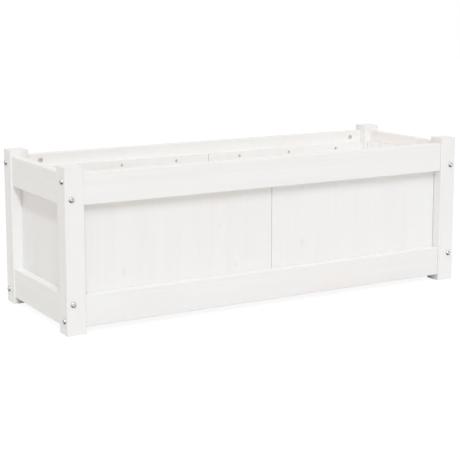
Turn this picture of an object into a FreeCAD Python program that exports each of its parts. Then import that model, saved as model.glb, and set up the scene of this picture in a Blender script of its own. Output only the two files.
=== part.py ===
import FreeCAD, Part
import math
import os
import Sketcher

# A long pine planter: four posts, eight rails bolted between them with barrel nuts,
# board panels screwed to the rails' inner faces, and a slatted floor on two cleats.
# Millimetres. X runs along the planter, -Y is its front, Z is up, and the origin lies
# on the ground under its middle.

# Driving sizes
SIZES = {
    # Frame
    "overall_length": 900,
    "overall_width": 310,
    "post_height": 310,
    "post_width": 38,
    "post_edge_radius": 2,
    "post_end_chamfer": 1,
    "rail_height": 59,
    "rail_thickness": 19,
    "rail_setback": 3,
    "rail_edge_radius": 1.5,
    "top_rail_drop": 12,
    "bottom_rail_lift": 13,
    # Panels
    "panel_thickness": 10,
    "panel_overlap": 34,
    "panel_gap": 0.8,
    "panel_seam": 1,
    "panel_edge_chamfer": 0.8,
    # Bolts, with a round head and a hexagon socket
    "bolt_diameter": 6,
    "bolt_tail": 1,
    "bolt_tip_chamfer": 0.8,
    "bolt_head_diameter": 10.5,
    "bolt_head_height": 3.3,
    "bolt_head_round": 2.6,
    "hex_across": 4,
    "hex_depth": 2.1,
    "bolt_clearance": 0.5,
    "bolt_end_room": 3,
    "long_bolt_inset": 14,
    "end_bolt_inset": 13,
    # Barrel nuts
    "nut_diameter": 10,
    "nut_length": 13,
    "nut_distance": 31,
    "nut_clearance": 0.15,
    "nut_slot_width": 1.6,
    "nut_slot_depth": 1.8,
    "thread_clearance": 0.1,
    # Countersunk screws
    "panel_screw_diameter": 3,
    "panel_screw_head": 6.2,
    "panel_screw_bite": 12,
    "panel_screw_inset": 10.5,
    "long_screw_margin": 77.5,
    "end_screw_margin": 47,
    "cleat_screw_diameter": 4,
    "cleat_screw_head": 8,
    "cleat_screw_bite": 13,
    "cleat_screw_height": 7,
    "slat_screw_diameter": 3.5,
    "slat_screw_head": 7,
    "slat_screw_bite": 10,
    "screw_point": 4,
    "screw_clearance": 0.1,
    "screw_sink": 0.2,
    "pilot_room": 1,
    "recess_width": 0.9,
    "recess_depth": 1.2,
    "recess_margin": 1.3,
    # Floor
    "cleat_width": 22,
    "cleat_height": 22,
    "cleat_rise": 2,
    "cleat_end_gap": 1,
    "cleat_edge_radius": 1,
    "slat_thickness": 12,
    "slat_gap": 8,
    "slat_end_gap": 2,
    "slat_side_gap": 1,
    "slat_edge_radius": 1,
}
SLAT_COUNT = 8
COUNTERSINK_ANGLE = 90
TOLERANCE = 0.01

# Sizes and places that follow from the driving ones. Depths are counted inwards from the
# posts' outer faces, and heights from the ground.
FITS = {
    "long_rail_length": "sizes.overall_length - 2 * sizes.post_width",
    "end_rail_length": "sizes.overall_width - 2 * sizes.post_width",
    "top_rail_base": "sizes.post_height - sizes.top_rail_drop - sizes.rail_height",
    "bottom_rail_base": "sizes.bottom_rail_lift",
    "rail_middle": "sizes.rail_setback + sizes.rail_thickness / 2",
    "rail_inner": "sizes.rail_setback + sizes.rail_thickness",
    "long_bolt_top": "top_rail_base + sizes.rail_height - sizes.long_bolt_inset",
    "long_bolt_bottom": "bottom_rail_base + sizes.long_bolt_inset",
    "end_bolt_top": "top_rail_base + sizes.end_bolt_inset",
    "end_bolt_bottom": "bottom_rail_base + sizes.rail_height - sizes.end_bolt_inset",
    "bolt_hole": "sizes.bolt_diameter + 2 * sizes.bolt_clearance",
    "bolt_length": "sizes.post_width + sizes.nut_distance + sizes.nut_diameter / 2 + sizes.bolt_tail",
    "bolt_hole_depth": "bolt_length - sizes.post_width + sizes.bolt_end_room",
    "nut_hole": "sizes.nut_diameter + 2 * sizes.nut_clearance",
    "nut_hole_depth": "(sizes.rail_thickness + sizes.nut_length) / 2",
    "long_nut_along": "long_rail_length / 2 - sizes.nut_distance",
    "end_nut_along": "end_rail_length / 2 - sizes.nut_distance",
    "panel_base": "bottom_rail_base + sizes.rail_height - sizes.panel_overlap",
    "panel_height": "top_rail_base + sizes.panel_overlap - panel_base",
    "panel_inner": "rail_inner + sizes.panel_thickness",
    "long_panel_width": "(long_rail_length - 2 * sizes.panel_gap - sizes.panel_seam) / 2",
    "long_panel_along": "(long_panel_width + sizes.panel_seam) / 2",
    "end_panel_width": "end_rail_length - 2 * sizes.panel_gap",
    "panel_screw_top": "panel_base + panel_height - sizes.panel_screw_inset",
    "panel_screw_bottom": "panel_base + sizes.panel_screw_inset",
    "panel_screw_length": "sizes.panel_thickness - sizes.screw_sink + sizes.panel_screw_bite",
    "long_screw_step": "long_panel_width / 2 - sizes.long_screw_margin",
    "end_screw_step": "end_panel_width / 2 - sizes.end_screw_margin",
    "cleat_base": "panel_base + sizes.cleat_rise",
    "cleat_inner": "panel_inner + sizes.cleat_width",
    "cleat_length": "long_rail_length - 2 * sizes.cleat_end_gap",
    "cleat_screw_up": "cleat_base + sizes.cleat_screw_height",
    "cleat_screw_length": "cleat_inner - rail_inner - sizes.screw_sink + sizes.cleat_screw_bite",
    "floor_base": "cleat_base + sizes.cleat_height",
    "floor_top": "floor_base + sizes.slat_thickness",
    "floor_span": "sizes.overall_length - 2 * (panel_inner + sizes.slat_end_gap)",
    "slat_width": f"(floor_span - {SLAT_COUNT - 1} * sizes.slat_gap) / {SLAT_COUNT}",
    "slat_length": "end_rail_length - 2 * sizes.slat_side_gap",
    "slat_screw_length": "sizes.slat_thickness - sizes.screw_sink + sizes.slat_screw_bite",
    "slat_screw_depth": "(sizes.post_width + sizes.slat_side_gap + cleat_inner) / 2",
}

# Each side of the planter: its turn about Z, and how far its posts' outer faces are from the middle
SIDES = {
    "front": (0, "sizes.overall_width / 2"),
    "right": (90, "sizes.overall_length / 2"),
    "back": (180, "sizes.overall_width / 2"),
    "left": (270, "sizes.overall_length / 2"),
}
LONG_SIDES = ("front", "back")
END_SIDES = ("left", "right")
LEVELS = ("bottom", "top")
HEAD_UP = 0
HEAD_OUTWARDS = 90
HEAD_INWARDS = -90

doc = FreeCAD.newDocument("planter")
pieces = []


def write_sheet(name, cells, prefix=""):
    """Make a sheet with one named cell a row."""
    sheet = doc.addObject("Spreadsheet::Sheet", name)
    for row, (alias, content) in enumerate(cells.items(), start=1):
        sheet.set(f"A{row}", alias)
        sheet.set(f"B{row}", f"{prefix}{content}")
        sheet.setAlias(f"B{row}", alias)
    doc.recompute()


def place(item, side, along, depth, up, tilt=HEAD_UP):
    """Put an item on a side: along it, at a depth inwards from its posts' outer faces, and at a height."""
    turn, reach = SIDES[side]
    cosine = round(math.cos(math.radians(turn)))
    sine = round(math.sin(math.radians(turn)))
    about_z = FreeCAD.Rotation(FreeCAD.Vector(0, 0, 1), turn)
    about_x = FreeCAD.Rotation(FreeCAD.Vector(1, 0, 0), tilt)
    item.Placement = FreeCAD.Placement(FreeCAD.Vector(), about_z * about_x)
    inwards = f"({depth} - {reach})"
    item.setExpression("Placement.Base.x", f"{cosine} * ({along}) - {sine} * {inwards}")
    item.setExpression("Placement.Base.y", f"{sine} * ({along}) + {cosine} * {inwards}")
    item.setExpression("Placement.Base.z", up)


def new_body(label):
    body = doc.addObject("PartDesign::Body", label)
    body.Label = label
    return body


def origin_plane(body, role):
    return next(feature for feature in body.Origin.OriginFeatures if feature.Role == role)


def new_sketch(body, name, role, lift="0"):
    """Make a sketch on one of the body's own planes, lifted along that plane's normal."""
    sketch = body.newObject("Sketcher::SketchObject", name)
    sketch.AttachmentSupport = [(origin_plane(body, role), "")]
    sketch.MapMode = "FlatFace"
    sketch.setExpression("AttachmentOffset.Base.z", lift)
    return sketch


def pin(sketch, geometry, point, x, y):
    """Hold a point of the sketch at a place that is worked out from the sheet."""
    for kind, place_in_sheet in (("DistanceX", x), ("DistanceY", y)):
        index = sketch.addConstraint(Sketcher.Constraint(kind, -1, 1, geometry, point, 1.0))
        sketch.setExpression(f"Constraints[{index}]", place_in_sheet)


def draw_outline(sketch, corners):
    """Draw a closed outline of straight lines through the given corners."""
    count = len(corners)
    turns = [math.tau * k / count for k in range(count)]
    start = [FreeCAD.Vector(math.cos(turn), math.sin(turn)) for turn in turns]
    lines = [sketch.addGeometry(Part.LineSegment(start[k - 1], start[k])) for k in range(count)]
    for k in range(count):
        sketch.addConstraint(Sketcher.Constraint("Coincident", lines[k - 1], 2, lines[k], 1))
    for line, (x, y) in zip(lines, corners):
        pin(sketch, line, 1, x, y)


def draw_rectangle(sketch, left, right, bottom, top):
    draw_outline(sketch, [(left, bottom), (right, bottom), (right, top), (left, top)])


def draw_circles(sketch, centres, diameter):
    for x, y in centres:
        circle = sketch.addGeometry(Part.Circle(FreeCAD.Vector(1, 1), FreeCAD.Vector(0, 0, 1), 1))
        pin(sketch, circle, 3, x, y)
        index = sketch.addConstraint(Sketcher.Constraint("Diameter", circle, 1.0))
        sketch.setExpression(f"Constraints[{index}]", diameter)


def pad(body, sketch, length, side_type="One side", flip=False):
    feature = body.newObject("PartDesign::Pad", f"{sketch.Name}_pad")
    feature.Profile = sketch
    feature.SideType = side_type
    feature.Reversed = flip
    feature.setExpression("Length", length)
    doc.recompute()


def revolve(body, sketch):
    feature = body.newObject("PartDesign::Revolution", f"{sketch.Name}_turned")
    feature.Profile = sketch
    feature.ReferenceAxis = (sketch, ["V_Axis"])
    doc.recompute()


def check_cut(body, volume_before):
    if body.Shape.Volume >= volume_before:
        raise RuntimeError(f"A cut in {body.Label} took nothing away")


def pocket(body, sketch, depth, flip=False):
    before = body.Shape.Volume
    feature = body.newObject("PartDesign::Pocket", f"{sketch.Name}_cut")
    feature.Profile = sketch
    feature.Reversed = flip
    feature.setExpression("Length", depth)
    doc.recompute()
    check_cut(body, before)


def drill(body, sketch, diameter, depth=None, flip=False, head=None, point="Flat"):
    """Drill the sketch's circles: right through with no depth, and countersunk for a screw head if given."""
    doc.recompute()
    before = body.Shape.Volume
    hole = body.newObject("PartDesign::Hole", f"{sketch.Name}_holes")
    hole.Profile = sketch
    doc.recompute()
    hole.Reversed = flip
    hole.setExpression("Diameter", diameter)
    if head:
        hole.HoleCutType = "Countersink"
        hole.HoleCutCountersinkAngle = COUNTERSINK_ANGLE
        hole.setExpression("HoleCutDiameter", f"{head} + 2 * (sizes.screw_clearance + sizes.screw_sink)")
    if depth:
        hole.DepthType = "Dimension"
        hole.DrillPoint = point
        hole.setExpression("Depth", depth)
    else:
        hole.DepthType = "ThroughAll"
    doc.recompute()
    check_cut(body, before)
    return hole


def mirror_across(body, feature, role):
    mirrored = body.newObject("PartDesign::Mirrored", f"{feature.Name}_mirrored")
    mirrored.Originals = [feature]
    mirrored.MirrorPlane = (origin_plane(body, role), [""])
    body.Tip = mirrored
    doc.recompute()


def pick_edges(body, wanted):
    edges = body.Shape.Edges
    return [f"Edge{number}" for number, edge in enumerate(edges, start=1) if wanted(edge)]


def round_edges(body, name, wanted, radius):
    base = (body.Tip, pick_edges(body, wanted))
    feature = body.newObject("PartDesign::Fillet", name)
    feature.Base = base
    feature.setExpression("Radius", radius)
    doc.recompute()


def chamfer_edges(body, name, wanted, size):
    base = (body.Tip, pick_edges(body, wanted))
    feature = body.newObject("PartDesign::Chamfer", name)
    feature.Base = base
    feature.setExpression("Size", size)
    doc.recompute()


def runs_along(axis):
    """Give a test for straight edges that run along an axis."""
    def test(edge):
        extent = edge.BoundBox
        spans = {"X": extent.XLength, "Y": extent.YLength, "Z": extent.ZLength}
        return all((span > TOLERANCE) == (name == axis) for name, span in spans.items())
    return test


def lies_flat(edge):
    return edge.BoundBox.ZLength < TOLERANCE


def through_size(kind):
    return f"sizes.{kind}_screw_diameter + 2 * sizes.screw_clearance"


def both_ways(expression):
    return [f"-({expression})", expression]


def long_screw_places():
    """Places along a long side of its panel screws, three to a panel."""
    return [
        f"{panel} * fits.long_panel_along + {step} * fits.long_screw_step"
        for panel in (-1, 1)
        for step in (-1, 0, 1)
    ]


def cleat_screw_places():
    """Places along a long side of its cleat screws, midway between the panel screws."""
    return [
        f"{panel} * fits.long_panel_along + {step} * fits.long_screw_step / 2"
        for panel in (-1, 1)
        for step in (-1, 1)
    ]


def slat_along(number):
    return f"-fits.floor_span / 2 + fits.slat_width / 2 + {number} * (fits.slat_width + sizes.slat_gap)"


def make_post(side, end):
    """A square post with eased edges, bored across for the bolts of its two pairs of rails."""
    right = 1 if end == "right" else -1
    back = 1 if side == "back" else -1
    body = new_body(f"post_{side}_{end}")
    section = new_sketch(body, "post_section", "XY_Plane")
    half = "sizes.post_width / 2"
    draw_rectangle(section, f"-{half}", half, f"-{half}", half)
    pad(body, section, "sizes.post_height")
    round_edges(body, "long_edges", runs_along("Z"), "sizes.post_edge_radius")
    chamfer_edges(body, "end_edges", lies_flat, "sizes.post_end_chamfer")
    off_centre = f"({half} - fits.rail_middle)"
    long_ways = new_sketch(body, "long_bolt_ways", "YZ_Plane", half)
    long_heights = [f"fits.long_bolt_{level}" for level in LEVELS]
    draw_circles(long_ways, [(f"{back} * {off_centre}", height) for height in long_heights], "fits.bolt_hole")
    drill(body, long_ways, "fits.bolt_hole")
    end_ways = new_sketch(body, "end_bolt_ways", "XZ_Plane", half)
    end_heights = [f"fits.end_bolt_{level}" for level in LEVELS]
    draw_circles(end_ways, [(f"{right} * {off_centre}", height) for height in end_heights], "fits.bolt_hole")
    drill(body, end_ways, "fits.bolt_hole")
    along = f"{right} * (sizes.overall_length - sizes.post_width) / 2"
    depth = half if side == "front" else f"sizes.overall_width - {half}"
    place(body, "front", along, depth, "0")
    pieces.append(body)


def make_rail(side, level):
    """A rail bored at both ends for its bolts, with barrel nut and screw holes in its inner face."""
    kind = "long" if side in LONG_SIDES else "end"
    base = f"fits.{level}_rail_base"
    length = f"fits.{kind}_rail_length"
    inner_face = "-sizes.rail_thickness"
    bolt_up = f"fits.{kind}_bolt_{level} - {base}"
    body = new_body(f"{side}_{level}_rail")
    section = new_sketch(body, "rail_section", "YZ_Plane")
    draw_rectangle(section, "0", "sizes.rail_thickness", "0", "sizes.rail_height")
    pad(body, section, length, "Symmetric")
    round_edges(body, "long_edges", runs_along("X"), "sizes.rail_edge_radius")
    bolt_way = new_sketch(body, "bolt_way", "YZ_Plane", f"{length} / 2")
    draw_circles(bolt_way, [("sizes.rail_thickness / 2", bolt_up)], "fits.bolt_hole")
    bore = drill(body, bolt_way, "fits.bolt_hole", "fits.bolt_hole_depth")
    mirror_across(body, bore, "YZ_Plane")
    nut_ways = new_sketch(body, "nut_ways", "XZ_Plane", inner_face)
    nut_spots = [(along, bolt_up) for along in both_ways(f"fits.{kind}_nut_along")]
    draw_circles(nut_ways, nut_spots, "fits.nut_hole")
    drill(body, nut_ways, "fits.nut_hole", "fits.nut_hole_depth", flip=True)
    pilots = new_sketch(body, "panel_pilots", "XZ_Plane", inner_face)
    screw_alongs = long_screw_places() if kind == "long" else both_ways("fits.end_screw_step")
    pilot_spots = [(along, f"fits.panel_screw_{level} - {base}") for along in screw_alongs]
    draw_circles(pilots, pilot_spots, through_size("panel"))
    pilot_depth = "sizes.panel_screw_bite + sizes.pilot_room"
    drill(body, pilots, through_size("panel"), pilot_depth, flip=True, point="Angled")
    if kind == "long" and level == "bottom":
        cleat_pilots = new_sketch(body, "cleat_pilots", "XZ_Plane", inner_face)
        cleat_spots = [(along, f"fits.cleat_screw_up - {base}") for along in cleat_screw_places()]
        draw_circles(cleat_pilots, cleat_spots, through_size("cleat"))
        cleat_depth = "sizes.cleat_screw_bite + sizes.pilot_room"
        drill(body, cleat_pilots, through_size("cleat"), cleat_depth, flip=True, point="Angled")
    place(body, side, "0", "sizes.rail_setback", base)
    pieces.append(body)


def make_panel(label, side, width, along, screw_steps, more_holes):
    """A board panel, eased at its outer upright edges and countersunk inside for its screws."""
    body = new_body(label)
    face = new_sketch(body, "panel_face", "XZ_Plane")
    draw_rectangle(face, f"-{width} / 2", f"{width} / 2", "0", "fits.panel_height")
    pad(body, face, "sizes.panel_thickness", flip=True)
    outer_upright = runs_along("Z")
    chamfer_edges(
        body,
        "upright_edges",
        lambda edge: outer_upright(edge) and edge.CenterOfMass.y < TOLERANCE,
        "sizes.panel_edge_chamfer",
    )
    screws = new_sketch(body, "screw_holes", "XZ_Plane", "-sizes.panel_thickness")
    heights = [f"fits.panel_screw_{level} - fits.panel_base" for level in LEVELS]
    screw_spots = [(step, height) for step in screw_steps for height in heights]
    draw_circles(screws, screw_spots, through_size("panel"))
    drill(body, screws, through_size("panel"), flip=True, head="sizes.panel_screw_head")
    spots, diameter = more_holes
    ways = new_sketch(body, "through_ways", "XZ_Plane", "-sizes.panel_thickness")
    draw_circles(ways, spots, diameter)
    drill(body, ways, diameter, flip=True)
    place(body, side, along, "fits.rail_inner", "fits.panel_base")
    pieces.append(body)


def make_long_panels(side):
    """The two panels of a long side, with ways for the cleat screws."""
    steps = ["-fits.long_screw_step", "0", "fits.long_screw_step"]
    cleat_up = "fits.cleat_screw_up - fits.panel_base"
    ways = [(along, cleat_up) for along in both_ways("fits.long_screw_step / 2")]
    towards_right = 1 if side == "front" else -1
    for end, direction in (("left", -towards_right), ("right", towards_right)):
        along = f"{direction} * fits.long_panel_along"
        more_holes = (ways, through_size("cleat"))
        make_panel(f"{side}_panel_{end}", side, "fits.long_panel_width", along, steps, more_holes)


def make_end_panel(side):
    """The panel of an end, with ways for the barrel nuts that it covers."""
    heights = [f"fits.end_bolt_{level} - fits.panel_base" for level in LEVELS]
    ways = [(along, height) for along in both_ways("fits.end_nut_along") for height in heights]
    steps = both_ways("fits.end_screw_step")
    make_panel(f"{side}_end_panel", side, "fits.end_panel_width", "0", steps, (ways, "fits.nut_hole"))


def make_cleat(side):
    """A batten inside a long side that carries the floor."""
    body = new_body(f"{side}_floor_cleat")
    section = new_sketch(body, "cleat_section", "YZ_Plane")
    draw_rectangle(section, "0", "sizes.cleat_width", "0", "sizes.cleat_height")
    pad(body, section, "fits.cleat_length", "Symmetric")
    lengthwise = runs_along("X")
    round_edges(
        body,
        "inner_edges",
        lambda edge: lengthwise(edge) and edge.CenterOfMass.y > TOLERANCE,
        "sizes.cleat_edge_radius",
    )
    screws = new_sketch(body, "screw_holes", "XZ_Plane", "-sizes.cleat_width")
    screw_spots = [(along, "sizes.cleat_screw_height") for along in cleat_screw_places()]
    draw_circles(screws, screw_spots, through_size("cleat"))
    drill(body, screws, through_size("cleat"), flip=True, head="sizes.cleat_screw_head")
    pilots = new_sketch(body, "slat_pilots", "XY_Plane", "sizes.cleat_height")
    from_panel = "fits.slat_screw_depth - fits.panel_inner"
    draw_circles(pilots, [(slat_along(k), from_panel) for k in range(SLAT_COUNT)], through_size("slat"))
    drill(body, pilots, through_size("slat"), "sizes.slat_screw_bite + sizes.pilot_room", point="Angled")
    place(body, side, "0", "fits.panel_inner", "fits.cleat_base")
    pieces.append(body)


def make_slat(number):
    """A floor board across the planter, screwed down at both ends."""
    body = new_body(f"floor_slat_{number + 1}")
    section = new_sketch(body, "slat_section", "XZ_Plane")
    draw_rectangle(section, "-fits.slat_width / 2", "fits.slat_width / 2", "0", "sizes.slat_thickness")
    pad(body, section, "fits.slat_length", "Symmetric")
    round_edges(body, "long_edges", runs_along("Y"), "sizes.slat_edge_radius")
    screws = new_sketch(body, "screw_holes", "XY_Plane", "sizes.slat_thickness")
    off_centre = "sizes.overall_width / 2 - fits.slat_screw_depth"
    draw_circles(screws, [("0", across) for across in both_ways(off_centre)], through_size("slat"))
    drill(body, screws, through_size("slat"), head="sizes.slat_screw_head")
    place(body, "front", slat_along(number), "sizes.overall_width / 2", "fits.floor_base")
    pieces.append(body)


def make_bolt():
    """One bolt, with its head's seat at zero and its shank downwards."""
    body = new_body("bolt")
    profile = new_sketch(body, "bolt_profile", "XZ_Plane")
    shank = "sizes.bolt_diameter / 2"
    head = "sizes.bolt_head_diameter / 2"
    tip = "-fits.bolt_length"
    draw_outline(profile, [
        ("0", tip),
        (f"{shank} - sizes.bolt_tip_chamfer", tip),
        (shank, f"{tip} + sizes.bolt_tip_chamfer"),
        (shank, "0"),
        (head, "0"),
        (head, "sizes.bolt_head_height"),
        ("0", "sizes.bolt_head_height"),
    ])
    revolve(body, profile)
    top = body.Shape.BoundBox.ZMax
    round_edges(body, "crown", lambda edge: edge.BoundBox.ZMin > top - TOLERANCE, "sizes.bolt_head_round")
    socket = new_sketch(body, "socket", "XY_Plane", "sizes.bolt_head_height")
    corner = "sizes.hex_across / sqrt(3)"
    draw_outline(socket, [(f"cos({60 * k}) * {corner}", f"sin({60 * k}) * {corner}") for k in range(6)])
    pocket(body, socket, "sizes.hex_depth")
    return body


def make_nut():
    """One barrel nut, lying along Y, threaded across along X and slotted at its inner end."""
    body = new_body("barrel_nut")
    round_section = new_sketch(body, "nut_section", "XZ_Plane")
    draw_circles(round_section, [("0", "0")], "sizes.nut_diameter")
    pad(body, round_section, "sizes.nut_length", "Symmetric")
    thread = new_sketch(body, "thread_way", "YZ_Plane", "sizes.nut_diameter / 2")
    thread_size = "sizes.bolt_diameter + 2 * sizes.thread_clearance"
    draw_circles(thread, [("0", "0")], thread_size)
    drill(body, thread, thread_size)
    slot = new_sketch(body, "slot", "XZ_Plane", "-sizes.nut_length / 2")
    half_width = "sizes.nut_slot_width / 2"
    reach = "sizes.nut_diameter"
    draw_rectangle(slot, f"-{reach}", reach, f"-{half_width}", half_width)
    pocket(body, slot, "sizes.nut_slot_depth", flip=True)
    return body


def make_screw(kind):
    """One countersunk screw, with its head's top at zero, its shank downwards and a cross recess."""
    body = new_body(f"{kind}_screw")
    profile = new_sketch(body, "screw_profile", "XZ_Plane")
    shank = f"sizes.{kind}_screw_diameter / 2"
    head = f"sizes.{kind}_screw_head / 2"
    tip = f"-fits.{kind}_screw_length"
    draw_outline(profile, [
        ("0", tip),
        (shank, f"{tip} + sizes.screw_point"),
        (shank, f"{shank} - {head}"),
        (head, "0"),
        ("0", "0"),
    ])
    revolve(body, profile)
    cross = new_sketch(body, "cross_recess", "XY_Plane")
    arm = f"({head} - sizes.recess_margin)"
    half = "sizes.recess_width / 2"
    quarter = [(arm, half), (half, half), (half, arm)]
    half_turn = quarter + [(f"-{x}", y) for x, y in reversed(quarter)]
    draw_outline(cross, half_turn + [(x, f"-{y}") for x, y in reversed(half_turn)])
    pocket(body, cross, "sizes.recess_depth")
    return body


def make_group(label, fastener, spots):
    """One node that holds a copy of the fastener at each spot."""
    copies = []
    for number, spot in enumerate(spots, start=1):
        copy = doc.addObject("App::Link", f"{label}_{number}")
        copy.LinkedObject = fastener
        place(copy, *spot)
        copies.append(copy)
    node = doc.addObject("Part::Compound", label)
    node.Label = label
    node.Links = copies
    doc.recompute()
    pieces.append(node)


def make_bolts_and_nuts():
    bolt = make_bolt()
    nut = make_nut()
    for kind, bolt_sides, nut_sides, half in (
        ("long", END_SIDES, LONG_SIDES, "sizes.overall_width / 2"),
        ("end", LONG_SIDES, END_SIDES, "sizes.overall_length / 2"),
    ):
        heights = [f"fits.{kind}_bolt_{level}" for level in LEVELS]
        bolt_alongs = both_ways(f"{half} - fits.rail_middle")
        nut_alongs = both_ways(f"fits.{kind}_nut_along")
        make_group(f"{kind}_rail_bolts", bolt, [
            (side, along, "0", up, HEAD_OUTWARDS)
            for side in bolt_sides
            for along in bolt_alongs
            for up in heights
        ])
        make_group(f"{kind}_rail_barrel_nuts", nut, [
            (side, along, "fits.rail_middle", up)
            for side in nut_sides
            for along in nut_alongs
            for up in heights
        ])


def make_screws():
    panel_screw = make_screw("panel")
    head_depth = "fits.panel_inner - sizes.screw_sink"
    heights = [f"fits.panel_screw_{level}" for level in LEVELS]
    for side in SIDES:
        alongs = long_screw_places() if side in LONG_SIDES else both_ways("fits.end_screw_step")
        make_group(f"{side}_panel_screws", panel_screw, [
            (side, along, head_depth, up, HEAD_INWARDS) for along in alongs for up in heights
        ])
    make_group("cleat_screws", make_screw("cleat"), [
        (side, along, "fits.cleat_inner - sizes.screw_sink", "fits.cleat_screw_up", HEAD_INWARDS)
        for side in LONG_SIDES
        for along in cleat_screw_places()
    ])
    make_group("slat_screws", make_screw("slat"), [
        (side, slat_along(number), "fits.slat_screw_depth", "fits.floor_top - sizes.screw_sink")
        for side in LONG_SIDES
        for number in range(SLAT_COUNT)
    ])


def check_document():
    for item in doc.Objects:
        if "Invalid" in item.State or "Error" in item.State:
            raise RuntimeError(f"{item.Label} failed: {item.State}")
    for piece in pieces:
        if piece.Shape.isNull() or not piece.Shape.isValid():
            raise RuntimeError(f"{piece.Label} has no sound shape")


def export_pieces():
    os.makedirs("parts", exist_ok=True)
    for piece in pieces:
        piece.Shape.exportStep(f"parts/{piece.Label}.step")


write_sheet("sizes", SIZES)
write_sheet("fits", FITS, prefix="=")
for post_side in LONG_SIDES:
    for post_end in END_SIDES:
        make_post(post_side, post_end)
for rail_side in SIDES:
    for rail_level in LEVELS:
        make_rail(rail_side, rail_level)
for long_side in LONG_SIDES:
    make_long_panels(long_side)
    make_cleat(long_side)
for end_side in END_SIDES:
    make_end_panel(end_side)
for slat_number in range(SLAT_COUNT):
    make_slat(slat_number)
make_bolts_and_nuts()
make_screws()
doc.recompute()
check_document()
export_pieces()
box = Part.makeCompound([piece.Shape for piece in pieces]).BoundBox
solids = sum(len(piece.Shape.Solids) for piece in pieces)
print(f"{len(pieces)} nodes, {solids} solids, {box.XLength:.1f} x {box.YLength:.1f} x {box.ZLength:.1f} mm")
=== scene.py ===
# %% [markdown]
# A white pine planter
#
# The real thing is a knock-down trough of painted pine: four square posts, eight rails bolted
# between them, thin board panels screwed to the rails from inside, and a slatted floor on two
# cleats. The measured solids come in first, and the size and place of every board and hole are
# read from them. Each step then says what a piece or a finish is on the real planter, how it could
# be made, and why it is made this way.

# %% Bring in the measured solids
import math

import bmesh
import bpy
from mathutils import Color, Matrix, Vector, noise


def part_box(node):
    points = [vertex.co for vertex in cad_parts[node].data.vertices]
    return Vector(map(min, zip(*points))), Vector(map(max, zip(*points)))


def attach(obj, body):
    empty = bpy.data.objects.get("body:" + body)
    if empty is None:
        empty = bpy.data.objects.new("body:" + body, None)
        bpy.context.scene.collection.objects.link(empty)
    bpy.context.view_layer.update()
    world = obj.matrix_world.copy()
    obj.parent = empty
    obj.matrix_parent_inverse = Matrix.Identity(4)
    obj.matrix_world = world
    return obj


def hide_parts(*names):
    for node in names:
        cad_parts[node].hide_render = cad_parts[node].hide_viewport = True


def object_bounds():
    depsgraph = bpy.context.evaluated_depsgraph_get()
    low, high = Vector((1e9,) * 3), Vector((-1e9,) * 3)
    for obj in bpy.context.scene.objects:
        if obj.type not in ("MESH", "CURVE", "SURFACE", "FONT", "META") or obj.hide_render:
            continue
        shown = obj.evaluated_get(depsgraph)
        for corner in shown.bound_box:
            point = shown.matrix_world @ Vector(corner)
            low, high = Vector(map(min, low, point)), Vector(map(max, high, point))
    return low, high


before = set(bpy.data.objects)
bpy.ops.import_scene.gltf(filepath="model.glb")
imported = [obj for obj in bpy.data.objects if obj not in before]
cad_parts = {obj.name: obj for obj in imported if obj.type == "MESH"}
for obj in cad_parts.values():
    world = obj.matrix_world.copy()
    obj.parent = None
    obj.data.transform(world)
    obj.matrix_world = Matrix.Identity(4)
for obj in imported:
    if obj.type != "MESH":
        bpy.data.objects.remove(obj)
cad_low, cad_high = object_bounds()
MIDDLE = (cad_low + cad_high) / 2
FASTENER_WORDS = ("bolts", "nuts", "screws")
board_nodes = [node for node in sorted(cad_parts) if not node.endswith(FASTENER_WORDS)]
fastener_nodes = [node for node in sorted(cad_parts) if node.endswith(FASTENER_WORDS)]
print(f"{len(board_nodes)} boards and {len(fastener_nodes)} groups of fasteners")
print(f"the solids fill {tuple(round(side, 4) for side in cad_high - cad_low)} m")

# %% [markdown]
# The camera
#
# The planter is seen from its front left corner, a little above its rim, through a long lens.
# A camera can be placed by eye or by a constraint, but a place and two angles that line up the
# corners of the posts hold still while the rest changes. The lens is set lower by a small shift
# and not by tilting further, so that the posts stay nearly upright in the picture.

# %% Stand the camera at the front left corner
FRAME_PIXELS = 460
FOCAL_PIXELS = 1232
SHIFT_PIXELS = -46
CAMERA_PLACE = Vector((-1.288, -2.170, 0.629))
CAMERA_YAW = math.radians(30.33)
CAMERA_PITCH = math.radians(9.13)


def link(item):
    bpy.context.scene.collection.objects.link(item)
    return item


camera = link(bpy.data.objects.new("camera", bpy.data.cameras.new("camera")))
camera.data.lens = camera.data.sensor_width * FOCAL_PIXELS / FRAME_PIXELS
camera.data.shift_y = SHIFT_PIXELS / FRAME_PIXELS
camera.location = CAMERA_PLACE
level = math.cos(CAMERA_PITCH)
view = Vector((math.sin(CAMERA_YAW) * level, math.cos(CAMERA_YAW) * level, -math.sin(CAMERA_PITCH)))
camera.rotation_mode = "QUATERNION"
camera.rotation_quaternion = view.to_track_quat("-Z", "Y")
bpy.context.scene.camera = camera
print(f"lens of {camera.data.lens:.1f} mm, {(camera.location - MIDDLE).length:.2f} m from the planter")

# %% [markdown]
# Shader sums in Python
#
# A finish is a web of nodes, and a sum such as 1 - mask would take three lines of links each
# time. A small class that wraps a socket and knows the signs lets the sum stand as it is, and
# adds the Math nodes behind it.

# %% Let a socket stand in a sum


class Value:
    """An output socket that can stand in a Python sum."""

    def __init__(self, nodes, socket):
        self.nodes = nodes
        self.socket = socket

    def maths(self, operation, *others):
        """Any other operation of the Math node."""
        return self.nodes.sums(operation, self, *others)

    def __add__(self, other):
        return self.maths("ADD", other)

    def __sub__(self, other):
        return self.maths("SUBTRACT", other)

    def __rsub__(self, other):
        return self.nodes.sums("SUBTRACT", other, self)

    def __mul__(self, other):
        return self.maths("MULTIPLY", other)

    def __truediv__(self, other):
        return self.maths("DIVIDE", other)

    def __rtruediv__(self, other):
        return self.nodes.sums("DIVIDE", other, self)

    def __pow__(self, other):
        return self.maths("POWER", other)

    __radd__ = __add__
    __rmul__ = __mul__


print("a socket can stand in a sum")

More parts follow.
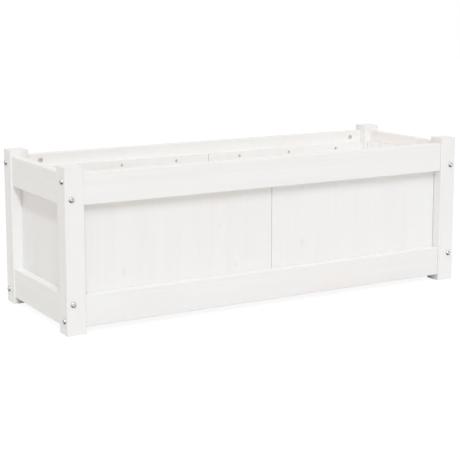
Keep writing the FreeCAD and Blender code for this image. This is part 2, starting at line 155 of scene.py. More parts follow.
# %% [markdown]
# Any other node could be added and linked by hand where it is needed. Here they all come from one
# method, which takes a node's kind, its settings and what goes into its sockets. The settings go
# first, because some of them change which sockets there are. The Mix node's colour sockets are
# found by number, because its sockets for numbers and vectors have the same names.

# %% Fill node trees through one method
MIX_FACTOR, MIX_FIRST, MIX_SECOND, MIX_RESULT = 0, 6, 7, 2


class Nodes:
    """The node tree of a material or of the world, filled through one method."""

    def __init__(self, owner):
        owner.use_nodes = True
        self.tree = owner.node_tree
        self.tree.nodes.clear()

    def node(self, kind, settings=None, inputs=None, output=0):
        """Add a node with its settings and inputs, and give back one of its outputs."""
        made = self.tree.nodes.new(kind)
        for name, setting in (settings or {}).items():
            setattr(made, name, setting)
        for key, value in (inputs or {}).items():
            if isinstance(value, Value):
                self.tree.links.new(value.socket, made.inputs[key])
            else:
                made.inputs[key].default_value = value
        return Value(self, made.outputs[output]) if len(made.outputs) else None

    def sums(self, operation, *terms):
        return self.node("ShaderNodeMath", {"operation": operation}, dict(enumerate(terms)))

    def vectors(self, operation, *terms):
        return self.node("ShaderNodeVectorMath", {"operation": operation}, dict(enumerate(terms)))

    def mix(self, factor, first, second):
        sockets = {MIX_FACTOR: factor, MIX_FIRST: first, MIX_SECOND: second}
        return self.node("ShaderNodeMix", {"data_type": "RGBA"}, sockets, MIX_RESULT)

    def split(self, vector):
        """The three numbers of a vector."""
        first = self.node("ShaderNodeSeparateXYZ", inputs={"Vector": vector})
        return [Value(self, socket) for socket in first.socket.node.outputs]

    def rise(self, value, start, end):
        """A smooth step from 0 at start to 1 at end."""
        sockets = {"Value": value, "From Min": start, "From Max": end}
        return self.node("ShaderNodeMapRange", {"interpolation_type": "SMOOTHSTEP"}, sockets)

    def attribute(self, name, output):
        return self.node("ShaderNodeAttribute", {"attribute_name": name}, output=output)


print("a node tree can be filled")

# %% [markdown]
# White paint on pine
#
# The boards carry a thin coat of satin white through which the wood still shows: the late wood
# of each year's ring stands a little proud and darker, knots come through as faint grey spots,
# and the coat is thinner on the rounded edges and in a few patches. A flat white would look like
# plastic, and a photograph of wood would repeat. So the grain is worked out in the board's own
# space. Most of it is noise that is drawn out along the grain: slow and wide where the coat thins,
# fine for brush marks and finer still for fibre.

# %% Draw noise out along the grain
WAVES_ACROSS = {"wander": 7.0, "patch": 13.0, "flow": 45.0, "worn": 60.0, "brush": 150.0, "fibre": 420.0}
WAVES_ALONG = {"wander": 2.2, "patch": 3.0, "flow": 1.6, "worn": 9.0, "brush": 4.0, "fibre": 9.0}
SOFT_DETAIL = 2.0


def streaks(nodes, place, mark, detail=SOFT_DETAIL):
    """Noise drawn out along the grain, by a mark's waves per metre across and along it."""
    waves = (WAVES_ACROSS[mark], WAVES_ACROSS[mark], WAVES_ALONG[mark])
    stretched = nodes.vectors("MULTIPLY", place, waves)
    return nodes.node("ShaderNodeTexNoise", inputs={"Vector": stretched, "Scale": 1.0, "Detail": detail})


print(f"{len(WAVES_ACROSS)} kinds of streak, with up to {max(WAVES_ACROSS.values()):.0f} waves a metre")

# %% [markdown]
# Rings could be a striped texture, but stripes don't turn into arcs on the end of a post. Here
# they are distances from a pith somewhere beside the board, and one sum then draws both. The wide
# panels are glued up from staves. Each stave draws three numbers of its own, from its place on
# the board and the board's seed, and they set its pith apart from its neighbours'.

# %% Grow the rings
MILLIMETRES = 1000
RING_SPACING = 0.0052
PITH_SPREAD = 0.16
PITH_NEAR = 0.025
PITH_RANGE = 0.06
PITH_LEAN = 0.10
WANDER = 0.016
LATE_WOOD_POWER = 2.5


def stave_draw(nodes, across, stave, seed):
    """A stave's number on its board, and the three numbers drawn for it."""
    number = (across / stave + 0.5).maths("FLOOR")
    ticket = nodes.node("ShaderNodeCombineXYZ", inputs={"X": number, "Y": seed})
    return number, nodes.node("ShaderNodeTexWhiteNoise", inputs={"Vector": ticket}, output="Color")


def pith_distance(nodes, place, shifted, stave, number, draw):
    """How far each point lies from its stave's pith."""
    across, through, along = nodes.split(place)
    draw_across, draw_through, draw_along = nodes.split(draw)
    wander = (streaks(nodes, shifted, "wander") - 0.5) * WANDER
    sideways = across - number * stave - (draw_across - 0.5) * PITH_SPREAD
    sideways = sideways + along * (draw_along - 0.5) * PITH_LEAN + wander
    deep = through + PITH_NEAR + draw_through * PITH_RANGE
    return (sideways * sideways + deep * deep).maths("SQRT")


def late_wood(radius):
    """From 0 at the start of a year's ring to 1 at its end, most of it late."""
    return (radius / RING_SPACING).maths("FRACT") ** LATE_WOOD_POWER


print(f"a ring every {RING_SPACING * MILLIMETRES:.1f} mm")

# %% [markdown]
# A knot is the foot of a branch, and the rings bend round it. The two front panels show theirs at
# known places, so those are given. On the other boards nothing fixes a knot's place, so some cells
# of a Voronoi pattern hold one by lot. Both ways give how much of a knot a point is, and how far
# the rings swirl there.

# %% Grow the knots
KNOTS = {
    "front_panel_left": ((-0.120, -0.054, 0.007), (0.123, -0.068, 0.005), (0.085, 0.014, 0.004)),
    "front_panel_right": ((-0.133, -0.039, 0.006), (-0.134, 0.073, 0.004), (0.146, 0.075, 0.003)),
}
KNOT_STRETCH = 1.7
SWIRL_FALL = 0.5
GIVEN_FADE = (0.2, 1.3)
DRAWN_FADE = (0.2, 1.2)
KNOT_CELLS = (5.5, 0.0, 4.0)
KNOT_RADIUS = 0.045
LEAST_KNOT = 0.5
KNOT_RANGE = 0.6
KNOT_SHARE = 0.22


def given_knots(nodes, across, along, knots):
    """Knots at places given as (across, along, radius) from the board's middle."""
    knot = 0.0
    swirl = 0.0
    for knot_across, knot_along, radius in knots:
        from_across = (across - knot_across) / radius
        from_along = (along - knot_along) / (radius * KNOT_STRETCH)
        reach = (from_across * from_across + from_along * from_along).maths("SQRT")
        knot = nodes.sums("MAXIMUM", knot, 1.0 - nodes.rise(reach, *GIVEN_FADE))
        swirl = swirl + 1.0 / (reach * reach * SWIRL_FALL + 1.0)
    return knot, swirl


def drawn_knots(nodes, shifted):
    """Knots by lot, in some cells of a pattern that is drawn out along the grain."""
    across, _, along = nodes.split(nodes.vectors("MULTIPLY", shifted, KNOT_CELLS))
    spot = nodes.node("ShaderNodeCombineXYZ", inputs={"X": across, "Y": along})
    flat = {"voronoi_dimensions": "2D"}
    distance = nodes.node("ShaderNodeTexVoronoi", flat, {"Vector": spot, "Scale": 1.0}, "Distance")
    lot = nodes.node("ShaderNodeTexVoronoi", flat, {"Vector": spot, "Scale": 1.0}, "Color")
    chosen, size, _ = nodes.split(lot)
    reach = distance / (KNOT_RADIUS * (size * KNOT_RANGE + LEAST_KNOT))
    there = chosen.maths("LESS_THAN", KNOT_SHARE)
    return there * (1.0 - nodes.rise(reach, *DRAWN_FADE)), there / (reach * reach * SWIRL_FALL + 1.0)


print(f"{sum(len(knots) for knots in KNOTS.values())} knots on {', '.join(KNOTS)}")

# %% [markdown]
# The paint is a slightly warm white, greyer over late wood and knots, and pinkish where it is
# thin. On the right top rail that pink also stands in for warm light bounced inside the trough, a
# painted tint of light. Colours are easiest to judge as a screen shows them, from 0 to 255, but
# shaders reckon with amounts of light, so one helper turns the first into the second.

# %% Choose the paint's colours
FULL_LEVEL = 255


def screen_colour(red, green, blue):
    """A colour as a screen shows it, from 0 to 255, as the light values that shaders use."""
    lit = Color([level / FULL_LEVEL for level in (red, green, blue)]).from_srgb_to_scene_linear()
    return (*lit, 1.0)


PAINT = screen_colour(248, 247, 246)
GRAIN_SHADE = screen_colour(238, 237, 235)
# The pink of a thin coat. On the right top rail it is also a painted tint of bounced light.
THIN_PAINT_AND_BOUNCE_TINT = screen_colour(246, 237, 235)
KNOT_TINT = screen_colour(212, 208, 205)
RAW_PINE = screen_colour(240, 226, 212)
print(f"the paint gives back {PAINT[0]:.2f} of the red light and bare pine {RAW_PINE[0]:.2f}")

# %% [markdown]
# The paint then takes a share of each mark. Shares are kept by name, one list for each thing that
# the marks change: how thin the coat is, how far the grain shades it, how high it stands and how
# rough it is. The walls of the holes are bare wood.

# %% Mix the paint
FINE_DETAIL = 3.0
THIN_SHARES = {"patch": 0.45, "worn_edge": 0.20, "knot": 0.08}
SHADE_SHARES = {"late_wood": 0.18, "fibre": 0.16, "brush": 0.16, "flow": 0.20}
RELIEF_SHARES = {"late_wood": 0.35, "fibre": 0.30, "brush": 0.50, "knot": 0.30}
ROUGH_SHARES = {"brush": 0.16, "end_grain": 0.15, "bore": 0.25, "knot": -0.06}
LEAST_ROUGH = 0.42
KNOT_EVEN = 0.06
KNOT_FIBRE = 0.18
FLOW_RISE = (0.42, 0.72)
PATCH_RISE = (0.50, 0.78)
WORN_RISE = (0.42, 0.70)
DRAW_SHIFT = (9.0, 9.0, 9.0)
KNOT_SWIRL = 0.010
RING_DRIFT = 0.012
GRAIN_RELIEF = 0.0005
RELIEF_STRENGTH = 0.35


def blend(marks, shares, start=0.0):
    """A start, and a share of each mark added to it."""
    total = start
    for mark, share in shares.items():
        total = total + marks[mark] * share
    return total


def painted_pine(name, knots=()):
    """White paint on pine, with knots at given places or else by lot."""
    material = bpy.data.materials.new(name)
    nodes = Nodes(material)
    place = nodes.attribute("board_place", "Vector")
    seed = nodes.attribute("board_seed", "Fac")
    stave = nodes.attribute("stave_width", "Fac")
    thin_coat_and_bounce_tint = nodes.attribute("thin_coat_and_bounce_tint", "Fac")
    arris, end_grain, bore = nodes.split(nodes.attribute("board_surface", "Vector"))
    across, _, along = nodes.split(place)
    number, draw = stave_draw(nodes, across, stave, seed)
    shifted = nodes.vectors("MULTIPLY_ADD", draw, DRAW_SHIFT, place)
    knot, swirl = given_knots(nodes, across, along, knots) if knots else drawn_knots(nodes, shifted)
    flow = streaks(nodes, shifted, "flow")
    radius = pith_distance(nodes, place, shifted, stave, number, draw)
    radius = radius + swirl * KNOT_SWIRL + flow * RING_DRIFT
    marks = {
        "late_wood": late_wood(radius),
        "fibre": streaks(nodes, shifted, "fibre", FINE_DETAIL),
        "brush": streaks(nodes, shifted, "brush"),
        "flow": nodes.rise(flow, *FLOW_RISE),
        "patch": nodes.rise(streaks(nodes, shifted, "patch", FINE_DETAIL), *PATCH_RISE),
        "worn_edge": arris * nodes.rise(streaks(nodes, shifted, "worn"), *WORN_RISE),
        "knot": knot,
        "end_grain": end_grain,
        "bore": bore,
    }
    # On the right top rail the thin coat's pink is a painted tint of warm bounced light.
    coat = nodes.mix(blend(marks, THIN_SHARES, thin_coat_and_bounce_tint), PAINT, THIN_PAINT_AND_BOUNCE_TINT)
    grained = nodes.mix(blend(marks, SHADE_SHARES), coat, GRAIN_SHADE)
    knotted = nodes.mix(knot * (marks["fibre"] * KNOT_FIBRE + KNOT_EVEN), grained, KNOT_TINT)
    relief = {"Height": blend(marks, RELIEF_SHARES), "Strength": RELIEF_STRENGTH, "Distance": GRAIN_RELIEF}
    shader = nodes.node("ShaderNodeBsdfPrincipled", inputs={
        "Base Color": nodes.mix(bore, knotted, RAW_PINE),
        "Roughness": blend(marks, ROUGH_SHARES, LEAST_ROUGH),
        "Normal": nodes.node("ShaderNodeBump", inputs=relief),
    })
    nodes.node("ShaderNodeOutputMaterial", inputs={"Surface": shader})
    return material


paints = {node: painted_pine(f"{node}_pine", knots) for node, knots in KNOTS.items()}
white_pine = painted_pine("white_pine")
print(f"{white_pine.name} has {len(white_pine.node_tree.nodes)} nodes")

# %% [markdown]
# One planed board
#
# Every wooden piece is a planed board with its long edges sanded round. Its place, its size and
# the way its grain runs could be typed in for each, but they are all in its solid's box, so they
# are read from there. How far the edges are rounded depends on what the board is for, so that
# stands in a table and is found by a word in the board's name.

# %% Read a board from its box
EASING = {"post": 0.0020, "rail": 0.0015, "panel": 0.0005, "cleat": 0.0010, "slat": 0.0010}
END_EASING = {"rail": 0.0012}
CUT_SQUARE = 0.0004


def by_word(table, node, otherwise=None):
    """The entry of a table whose word is part of a node's name."""
    return next((entry for word, entry in table.items() if word in node), otherwise)


class Board:
    """Where a board lies, which way its grain runs and how far its edges are rounded."""

    def __init__(self, node):
        low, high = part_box(node)
        size = high - low
        self.node = node
        self.middle = (low + high) / 2
        self.half = size / 2
        self.easing = by_word(EASING, node)
        self.end_easing = by_word(END_EASING, node, CUT_SQUARE)
        # The grain runs along the longest side, but the panels' staves stand upright, along Z.
        self.through, *others = sorted(range(3), key=lambda axis: size[axis])
        self.across, self.along = sorted(others) if "panel" in node else others

    def own(self, vector):
        """A vector's parts across, through and along the grain."""
        return Vector((vector[self.across], vector[self.through], vector[self.along]))


rail = Board("front_top_rail")
print(f"a rail is {2 * rail.half[rail.along]:.3f} m long, with edges rounded by {rail.easing} m")

# %% [markdown]
# A stretched cube has the right size but razor edges that catch no light, and a bevel alone is as
# even as extruded plastic. So a cube takes the board's size, gets stations along its length, and
# its long edges are bevelled. The rounding then varies a little from station to station, always
# inwards, as it does when it is sanded by hand.

# %% Plane a board and sand it
STATION = 0.030
SANDING_SHARE = 0.12
SANDING_WAVES = (3.0, 6.0)
SANDING_SEED = 40.0
ROUNDED_SHARE = 0.9
SQUARE_CORNER = math.radians(80)
WELD = 1e-6
ARRIS_SEGMENTS = 3
END_SEGMENTS = 2
ROUND_BEVEL = {"offset_type": "OFFSET", "profile": 0.5, "affect": "EDGES", "material": -1}


def run_along(edge, axis):
    """How far an edge runs along an axis."""
    return abs((edge.verts[0].co - edge.verts[1].co)[axis])


def square_edges(shape):
    """The edges where two faces meet nearly square."""
    return [edge for edge in shape.edges if edge.calc_face_angle() > SQUARE_CORNER]


def planed_board(board):
    """A board the size of its box, with stations along it and with rounded edges."""
    shape = bmesh.new()
    bmesh.ops.create_cube(shape, size=2.0)
    bmesh.ops.scale(shape, vec=board.half, verts=shape.verts)
    bmesh.ops.translate(shape, vec=board.middle, verts=shape.verts)
    lengthwise = [edge for edge in shape.edges if run_along(edge, board.along) > board.half[board.along]]
    stations = round(2 * board.half[board.along] / STATION)
    bmesh.ops.subdivide_edges(shape, edges=lengthwise, cuts=stations, use_grid_fill=True)
    arrises = [edge for edge in square_edges(shape) if run_along(edge, board.along) > WELD]
    bmesh.ops.bevel(shape, geom=arrises, offset=board.easing, segments=ARRIS_SEGMENTS, **ROUND_BEVEL)
    ends = square_edges(shape)
    bmesh.ops.bevel(shape, geom=ends, offset=board.end_easing, segments=END_SEGMENTS, **ROUND_BEVEL)
    return shape


def sand_by_hand(shape, board, seed):
    """Take a little more off the rounded edges, unevenly along the board."""
    half = board.own(board.half)
    for vert in shape.verts:
        place = board.own(vert.co - board.middle)
        depth = max(half.x - abs(place.x), half.y - abs(place.y))
        if depth < ROUNDED_SHARE * board.easing:
            waves = Vector((place.x * SANDING_WAVES[0], place.z * SANDING_WAVES[1], seed * SANDING_SEED))
            taken = board.easing * SANDING_SHARE * (0.5 + 0.5 * noise.noise(waves))
            vert.co[board.across] -= math.copysign(taken, place.x)
            vert.co[board.through] -= math.copysign(taken, place.y)


sample = planed_board(rail)
sand_by_hand(sample, rail, seed=0.0)
print(f"a rail has {len(sample.verts)} points and {len(sample.faces)} faces")
sample.free()

# %% [markdown]
# Holes that show
#
# The barrel nuts sit in round holes that stay open on the inside of the rails, the end panels
# have round ways to reach the nuts behind them, and every screw sits in a countersink. A hole can
# be painted on as a dark spot, but then it has no rim or depth from another side. Here each hole
# is cut. Its place is read from the fasteners themselves: a node of fasteners is taken apart into
# its separate bodies, and each body's box tells where it sits and which way it points.

# %% Find the fasteners


def separate_bodies(node):
    """The lowest and highest corner of each separate body in a node."""
    shape = bmesh.new()
    shape.from_mesh(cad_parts[node].data)
    bmesh.ops.remove_doubles(shape, verts=shape.verts, dist=WELD)
    waiting = set(shape.verts)
    boxes = []
    while waiting:
        frontier = [waiting.pop()]
        body = list(frontier)
        while frontier:
            vert = frontier.pop()
            near = {edge.other_vert(vert) for edge in vert.link_edges} & waiting
            waiting -= near
            frontier.extend(near)
            body.extend(near)
        low = Vector(min(vert.co[axis] for vert in body) for axis in range(3))
        high = Vector(max(vert.co[axis] for vert in body) for axis in range(3))
        boxes.append((low, high))
    shape.free()
    return sorted(boxes, key=lambda box: tuple(box[0]))


nuts = [box for node in fastener_nodes if node.endswith("nuts") for box in separate_bodies(node)]
screws = [box for node in fastener_nodes if node.endswith("screws") for box in separate_bodies(node)]
print(f"{len(nuts)} barrel nuts and {len(screws)} screws")

# %% [markdown]
# A nut's hole runs from the nut's outer end inwards, far enough to pass the panel where there is
# one. A screw's countersink is a cone with a right angle at its point, so its depth equals its
# radius. Each hole is kept as its two ends and the radius at each, which is all that a cutter
# needs.

# %% Work out the holes
NUT_CLEARANCE = 0.00015
SCREW_CLEARANCE = 0.0003
OVERSHOOT = 0.001
ACCESS_DEPTH = 0.030


def inner_and_outer_end(low, high, axis):
    """The middle of a fastener's two ends, the one nearer the planter's middle first."""
    ends = [(low + high) / 2, (low + high) / 2]
    ends[0][axis] = low[axis]
    ends[1][axis] = high[axis]
    return sorted(ends, key=lambda end: abs(end[axis] - MIDDLE[axis]))


def nut_hole(low, high):
    """A nut's hole. The nut lies along the level side that differs more from its height."""
    size = high - low
    axis = 0 if abs(size.z - size.y) < abs(size.z - size.x) else 1
    inner, outer = inner_and_outer_end(low, high, axis)
    inwards = (inner - outer).normalized()
    radius = size.z / 2 + NUT_CLEARANCE
    return outer, inner + inwards * ACCESS_DEPTH, radius, radius


def countersink(low, high):
    """The cone that takes a screw's head, which is at the screw's inner end."""
    size = high - low
    axis = max(range(3), key=lambda side: size[side])
    head, tip = inner_and_outer_end(low, high, axis)
    inwards = (tip - head).normalized()
    radius = min(size) / 2 + SCREW_CLEARANCE
    return head + inwards * radius, head - inwards * OVERSHOOT, 0.0, radius + OVERSHOOT


holes = [nut_hole(*box) for box in nuts] + [countersink(*box) for box in screws]
widest = max(end_radius for _, _, _, end_radius in holes)
print(f"{len(holes)} holes, the widest {2 * widest * MILLIMETRES:.1f} mm across")

# %% [markdown]
# Each hole could have a Boolean modifier of its own, but every one of them would work out the
# whole board again. So a board takes only the holes that reach into its box, and their cutters
# are cones in one mesh, which is cut away once.

# %% Cut the holes
HOLE_SIDES = 32


def as_object(name, shape):
    """A mesh object made from a bmesh, which is then freed."""
    mesh = bpy.data.meshes.new(name)
    shape.to_mesh(mesh)
    shape.free()
    return link(bpy.data.objects.new(name, mesh))


def add_cone(shape, start, end, start_radius, end_radius):
    """Add a closed cone, which is a cylinder where both radii are alike."""
    direction = end - start
    turn = direction.to_track_quat("Z", "Y").to_matrix().to_4x4()
    bmesh.ops.create_cone(
        shape,
        cap_ends=True,
        segments=HOLE_SIDES,
        radius1=start_radius,
        radius2=end_radius,
        depth=direction.length,
        matrix=Matrix.Translation((start + end) / 2) @ turn,
    )


def reaches(board, start, end, start_radius, end_radius):
    """Whether a hole along one of the axes reaches into a board's box."""
    middle = (start + end) / 2
    half = [abs(side) / 2 or max(start_radius, end_radius) for side in end - start]
    return all(abs(middle[k] - board.middle[k]) < half[k] + board.half[k] - WELD for k in range(3))


def cut_holes(piece, board, holes):
    """Cut every hole that reaches into the board. Returns how many."""
    cut = [hole for hole in holes if reaches(board, *hole)]
    if cut:
        shape = bmesh.new()
        for hole in cut:
            add_cone(shape, *hole)
        cutter = as_object("cutter", shape)
        boolean = piece.modifiers.new("holes", "BOOLEAN")
        boolean.object = cutter
        boolean.solver = "EXACT"
        drilled = piece.evaluated_get(bpy.context.evaluated_depsgraph_get())
        piece.data = bpy.data.meshes.new_from_object(drilled)
        piece.modifiers.clear()
        bpy.data.objects.remove(cutter)
    return len(cut)


reached = [hole for hole in holes if reaches(Board("back_top_rail"), *hole)]
print(f"{len(reached)} holes reach into the back top rail")

# %% [markdown]
# All the boards
#
# The paint needs to know, at each point of a board, how far across, through and along the grain
# it lies, and whether the face is a rounded edge, end grain or the wall of a hole. Those facts
# are stored on the mesh as attributes, so that one paint serves every board and follows each
# one's own grain. A few boards get a thinner, pinker coat that changes from their first end to
# their last. On the right top rail that pink is a painted tint of the warm light bounced inside
# the trough.

# %% Write the grain on a mesh
STAVE_WIDTH = {"panel": 0.0685}
ONE_PLANK = 1.0
EVEN_COAT = (0.0, 0.0)
THIN_COATS_AND_BOUNCE_TINT = {
    # Painted light: this rail's pinker coat stands in for warm light bounced inside the trough.
    "right_top_rail": (0.5, 0.5),
    "front_bottom_rail": (0.0, 0.4),
    "front_panel_left": (0.0, 0.3),
}
BORE_DEPTH = 1.3
END_TURN = 0.7
FLAT_TURN = 0.99


def store(mesh, name, domain, kind, values):
    """Write one value for each point or face on a mesh."""
    field = "vector" if kind == "FLOAT_VECTOR" else "value"
    for item, value in zip(mesh.attributes.new(name, kind, domain).data, values):
        setattr(item, field, value)


def kind_of_surface(board, face):
    """Whether a face is a rounded edge, end grain or the wall of a hole, each as 0 or 1."""
    half = board.own(board.half)
    spot = board.own(face.center - board.middle)
    normal = board.own(face.normal)
    bore = min(half[k] - abs(spot[k]) for k in range(3)) > BORE_DEPTH * board.easing
    end_grain = not bore and abs(normal.z) > END_TURN
    arris = not bore and not end_grain and max(abs(normal.x), abs(normal.y)) < FLAT_TURN
    return (arris, end_grain, bore)


def store_grain(mesh, board, seed):
    """Write the board's own places and kinds of surface on its mesh."""
    stave = by_word(STAVE_WIDTH, board.node, ONE_PLANK)
    places = [board.own(vert.co - board.middle) for vert in mesh.vertices]
    surfaces = [kind_of_surface(board, face) for face in mesh.polygons]
    first, last = THIN_COATS_AND_BOUNCE_TINT.get(board.node, EVEN_COAT)
    length = 2 * board.half[board.along]
    coats_and_bounce_tints = [first + (last - first) * (place.z / length + 0.5) for place in places]
    store(mesh, "board_place", "POINT", "FLOAT_VECTOR", places)
    store(mesh, "board_seed", "POINT", "FLOAT", [seed] * len(places))
    store(mesh, "stave_width", "POINT", "FLOAT", [stave] * len(places))
    store(mesh, "thin_coat_and_bounce_tint", "POINT", "FLOAT", coats_and_bounce_tints)
    store(mesh, "board_surface", "FACE", "FLOAT_VECTOR", surfaces)


print(f"a thinner coat on {', '.join(THIN_COATS_AND_BOUNCE_TINT)}")

# %% [markdown]
# Each board is then made, cut and painted, and takes the place of its solid. Its seed could be
# drawn at random, but then every run would differ, so it is the fraction of its number times the
# golden section, which sets boards with neighbouring numbers far apart. Smooth shading alone would
# make a flat face look bulged beside its rounded edges, so weighted normals keep it flat.

# %% Make every board in place of its solid
GOLDEN_SHARE = 0.618034
CREASE = math.radians(40)


def make_board(node, number, paint):
    """Make a board in place of its solid. Returns how many holes were cut in it."""
    board = Board(node)
    seed = (number * GOLDEN_SHARE) % 1.0
    shape = planed_board(board)
    sand_by_hand(shape, board, seed)
    piece = as_object(f"painted_{node}", shape)
    cut = cut_holes(piece, board, holes)
    store_grain(piece.data, board, seed)
    piece.data.materials.clear()
    piece.data.materials.append(paint)
    piece.data.shade_smooth()
    piece.data.set_sharp_from_angle(angle=CREASE)
    normals = piece.modifiers.new("flat_faces", "WEIGHTED_NORMAL")
    normals.keep_sharp = True
    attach(piece, "root")
    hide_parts(node)
    return cut


holes_cut = 0
for number, node in enumerate(board_nodes):
    holes_cut += make_board(node, number, paints.get(node, white_pine))
print(f"{len(board_nodes)} boards with {holes_cut} holes that show")

# %% [markdown]
# Zinc and steel
#
# The bolts are plated with bright zinc, and the nuts and screws are duller. Their solids already
# have the right heads, sockets and slots, so they stay and only get a finish. Zinc has a fine,
# cloudy grain, so its grey and its roughness both wander with a small noise. A smooth, shiny head also
# mirrors the shade below it as a dark crescent low on its rim. The studio's floor is white in
# every mirror, so the crescent is a painted reflection: the zinc is painted darker as it turns down.

# %% Plate the fasteners
FINISHES = {
    "bolts": {
        "name": "bright_zinc",
        "bright": screen_colour(230, 230, 228),
        "dull": screen_colour(192, 191, 189),
        "metallic": 1.0,
        "roughness": 0.28,
        "painted_reflection_share": 1.0,
    },
    "nuts": {
        "name": "nut_zinc",
        "bright": screen_colour(238, 232, 226),
        "dull": screen_colour(208, 201, 194),
        "metallic": 0.5,
        "roughness": 0.40,
        "painted_reflection_share": 0.0,
    },
    "screws": {
        "name": "dull_steel",
        "bright": screen_colour(226, 220, 215),
        "dull": screen_colour(198, 191, 186),
        "metallic": 0.6,
        "roughness": 0.42,
        "painted_reflection_share": 0.0,
    },
}
# The colour of the painted reflection: the shade below, mirrored dark on zinc that turns down.
PAINTED_REFLECTION_DARK = screen_colour(50, 49, 48)
PAINTED_REFLECTION_RISE = (0.0, 0.42)
CLOUDS = 700.0
CLOUD_RISE = (0.35, 0.70)
CLOUD_DETAIL = 3.0
SPECKS = 4200.0
SPECK_DETAIL = 2.0
SPECK_HEIGHT = 0.4
SPECK_ROUGH = 0.20
PLATING_RELIEF = 0.0001
PLATING_STRENGTH = 0.15


def plated_metal(name, bright, dull, metallic, roughness, painted_reflection_share):
    """Cloudy plating. The last share is how much painted dark reflection a face gets as it turns down."""
    material = bpy.data.materials.new(name)
    nodes = Nodes(material)
    place = nodes.node("ShaderNodeTexCoord", output="Object")
    _, _, upwards = nodes.split(nodes.node("ShaderNodeTexCoord", output="Normal"))
    clouds = {"Vector": place, "Scale": CLOUDS, "Detail": CLOUD_DETAIL}
    specks = {"Vector": place, "Scale": SPECKS, "Detail": SPECK_DETAIL}
    cloud = nodes.node("ShaderNodeTexNoise", inputs=clouds)
    speck = nodes.node("ShaderNodeTexNoise", inputs=specks)
    colour = nodes.mix(nodes.rise(cloud, *CLOUD_RISE), bright, dull)
    # Painted reflection: faces that turn down are painted darker, for the shade mirrored from below.
    colour = nodes.mix(nodes.rise(0.0 - upwards, *PAINTED_REFLECTION_RISE) * painted_reflection_share, colour, PAINTED_REFLECTION_DARK)
    height = cloud + speck * SPECK_HEIGHT
    relief = {"Height": height, "Strength": PLATING_STRENGTH, "Distance": PLATING_RELIEF}
    shader = nodes.node("ShaderNodeBsdfPrincipled", inputs={
        "Base Color": colour,
        "Metallic": metallic,
        "Roughness": roughness + (speck - 0.5) * SPECK_ROUGH,
        "Normal": nodes.node("ShaderNodeBump", inputs=relief),
    })
    nodes.node("ShaderNodeOutputMaterial", inputs={"Surface": shader})
    return material


for word, recipe in FINISHES.items():
    metal = plated_metal(**recipe)
    plated = [node for node in fastener_nodes if node.endswith(word)]
    for node in plated:
        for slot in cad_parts[node].material_slots:
            slot.material = metal
    print(f"{metal.name} on {', '.join(plated)}")

# %% [markdown]
# Studio light
#
# The planter stands in soft light: a slightly warm glow from all round, stronger from above, and
# one lamp in front, to the left and above, which leaves a shade under the top rails. That shade is
# soft on the front but sharp on the end, and a round lamp can't do both. A long strip that runs
# from front to back can, because it is wide seen from one side and narrow seen from the other. It
# hangs far off, so that it lights the whole length alike, and its power grows with the square of
# that distance.

# %% Hang the strip
KEY_DIRECTION = Vector((-0.289, -0.680, 0.674))
KEY_COLOUR = (0.912, 1.012, 1.092)
KEY_STRENGTH = 1.22
KEY_DISTANCE = 30.0
KEY_LENGTH = math.radians(27)
KEY_WIDTH = math.radians(4)
BACKWARDS = Vector((0.0, 1.0, 0.0))


def add_flat_lamp(name, place, size, direction, along, power):
    """A lamp that shines one way, lies with its first side along another and stays unseen."""
    lamp = link(bpy.data.objects.new(name, bpy.data.lights.new(name, "AREA")))
    side = (along - direction * direction.dot(along)).normalized()
    lamp.rotation_mode = "QUATERNION"
    lamp.rotation_quaternion = Matrix((side, side.cross(direction), -direction)).transposed().to_quaternion()
    lamp.location = place
    lamp.data.shape = "RECTANGLE"
    lamp.data.size, lamp.data.size_y = size
    lamp.data.energy = power
    lamp.visible_camera = False
    return lamp


towards_key = KEY_DIRECTION.normalized()
key_place = MIDDLE + towards_key * KEY_DISTANCE
key_size = [2 * KEY_DISTANCE * math.tan(angle / 2) for angle in (KEY_LENGTH, KEY_WIDTH)]
key_power = KEY_STRENGTH * math.pi * KEY_DISTANCE ** 2
key = add_flat_lamp("key_strip", key_place, key_size, -towards_key, BACKWARDS, key_power)
key.data.color = KEY_COLOUR
print(f"a strip of {key_size[0]:.0f} x {key_size[1]:.0f} m, {KEY_DISTANCE:.0f} m away")

# %% [markdown]
# The glow could be a dome of lamps, but the world does it alone, as a background that grows
# stronger towards the top. Light Path tells which rays show the surroundings directly or in
# metal, and those find plain white instead.

# %% Let the surroundings glow
GLOW = (1.0, 0.94, 0.88, 1.0)
GLOW_LEVEL = 0.42
GLOW_ABOVE = 0.89
WHITE = (1.0, 1.0, 1.0, 1.0)
DIRECT_RAYS = ("Is Camera Ray", "Is Glossy Ray", "Is Transmission Ray")


def seen_directly(nodes):
    """1 on rays that show a surface to the camera, straight, in metal or through glass."""
    rays = nodes.node("ShaderNodeLightPath").socket.node.outputs
    seen = 0.0
    for name in DIRECT_RAYS:
        seen = nodes.sums("MAXIMUM", seen, Value(nodes, rays[name]))
    return seen


world = bpy.data.worlds.new("glow")
bpy.context.scene.world = world
sky = Nodes(world)
_, _, height = sky.split(sky.node("ShaderNodeTexCoord", output="Generated"))
strength = GLOW_LEVEL + height.maths("MAXIMUM", 0.0) * (GLOW_ABOVE - GLOW_LEVEL)
glow = sky.node("ShaderNodeBackground", inputs={"Color": GLOW, "Strength": strength})
white = sky.node("ShaderNodeBackground", inputs={"Color": WHITE, "Strength": 1.0})
both = sky.node("ShaderNodeMixShader", inputs={0: seen_directly(sky), 1: glow, 2: white})
sky.node("ShaderNodeOutputWorld", inputs={"Surface": both})
bpy.context.scene.view_settings.view_transform = "Standard"
print(f"a glow of {GLOW_LEVEL} from the sides and up to {GLOW_ABOVE} from above")

# %% [markdown]
# The inside would stay dull, so photographers stand a white card in it, against the front, that
# throws light at the back, and turn a second one to the far end. A card on the floor would light
# the panels more than the rails above them, and a small one close by would burn a bright patch.
# Cards of mesh would show from above, so here they are flat lamps that the camera doesn't see.

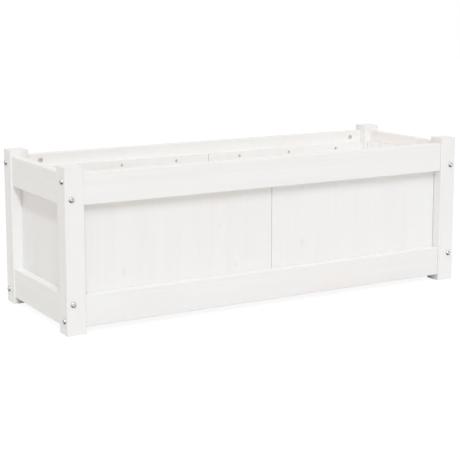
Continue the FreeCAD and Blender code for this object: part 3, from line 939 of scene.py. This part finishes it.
# %% Stand two cards inside
CARD_SHARE = Vector((0.95, 0.80))
CARD_GAP = 0.004
CARD_POWER = 0.110
END_CARD_SHARE = Vector((0.85, 0.80))
END_CARD_REACH = 0.30
END_CARD_POWER = 0.042
END_CARD_SPREAD = math.radians(70)
LENGTHWAYS = Vector((1.0, 0.0, 0.0))

panel_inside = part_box("front_panel_left")[1]
left_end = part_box("left_end_panel")[1].x
right_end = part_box("right_end_panel")[0].x
floor_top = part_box("floor_slat_1")[1].z
card_height = (panel_inside.z + floor_top) / 2

front_size = Vector((right_end - left_end, panel_inside.z - floor_top)) * CARD_SHARE
by_the_front = Vector((MIDDLE.x, panel_inside.y + CARD_GAP, card_height))
add_flat_lamp("white_card", by_the_front, front_size, BACKWARDS, LENGTHWAYS, CARD_POWER)

end_size = Vector((2 * abs(panel_inside.y), panel_inside.z - floor_top)) * END_CARD_SHARE
by_the_end = Vector((right_end - END_CARD_REACH, MIDDLE.y, card_height))
end_card = add_flat_lamp("end_card", by_the_end, end_size, LENGTHWAYS, BACKWARDS, END_CARD_POWER)
end_card.data.spread = END_CARD_SPREAD
print(f"cards of {front_size.x:.2f} x {front_size.y:.2f} m and {end_size.x:.2f} x {end_size.y:.2f} m")

# %% [markdown]
# White paper
#
# The floor is a wide sheet of white paper, which throws much of the light back up. To the camera,
# and in the metal, Light Path makes it fully white, with part of that white as its own light, so
# the sheet ends nowhere and the planter's shadow on it stays faint.

# %% Lay the paper
PAPER_WHITE = screen_colour(237, 237, 237)
PAPER_SIZE = 12.0
PAPER_SHINE_SHARE = 0.86
PAPER_SHINE = 1.06

sheet = bmesh.new()
bmesh.ops.create_grid(sheet, x_segments=1, y_segments=1, size=PAPER_SIZE / 2)
paper = as_object("paper_floor", sheet)
paper_finish = bpy.data.materials.new("white_paper")
paper.data.materials.append(paper_finish)
nodes = Nodes(paper_finish)
seen = seen_directly(nodes)
matt = nodes.node("ShaderNodeBsdfDiffuse", inputs={"Color": nodes.mix(seen, PAPER_WHITE, WHITE)})
bright = nodes.node("ShaderNodeEmission", inputs={"Color": WHITE, "Strength": PAPER_SHINE})
surface = nodes.node("ShaderNodeMixShader", inputs={0: seen * PAPER_SHINE_SHARE, 1: matt, 2: bright})
nodes.node("ShaderNodeOutputMaterial", inputs={"Surface": surface})
print(f"a floor of paper {PAPER_SIZE} m wide")
